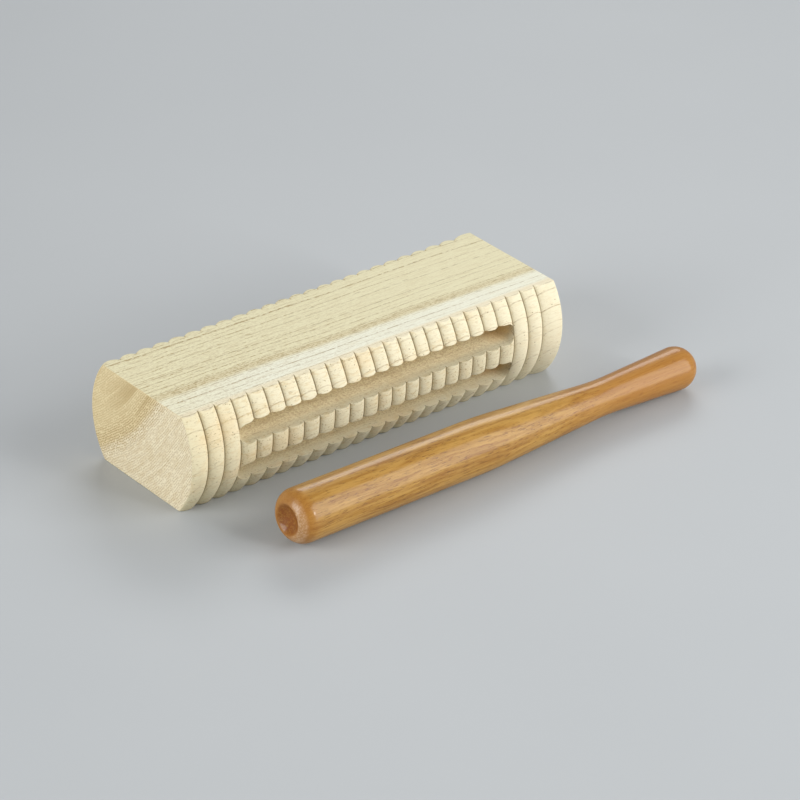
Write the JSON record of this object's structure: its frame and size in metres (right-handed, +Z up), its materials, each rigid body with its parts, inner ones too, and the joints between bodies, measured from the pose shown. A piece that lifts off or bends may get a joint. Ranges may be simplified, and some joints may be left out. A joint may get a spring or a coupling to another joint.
{
  "type": "guiro tone block with beater",
  "caption": "Beaded wooden guiro block with two long side slots that also sound as tone chambers, and a turned wooden beater lying beside it.",
  "frame": {"origin": "middle of the block's lower flat, on the surface that the block and the beater lie on", "axes": "+X along the block, -Y the slotted side that the beater lies beside, +Z up"},
  "size_m": [0.2427, 0.121, 0.0445],
  "materials": {
    "pale_ash_wood": "bare, unfinished",
    "lacquered_hardwood": "gloss lacquer"
  },
  "bodies": {
    "block": {"guiro_block": "pale_ash_wood"},
    "beater": {"beater": "lacquered_hardwood"}
  },
  "joints": [
    {"name": "beater_lift", "type": "slide", "parent": "block", "child": "beater", "axis": [0, 0, 1], "range_m": [0, 0.06]}
  ]
}
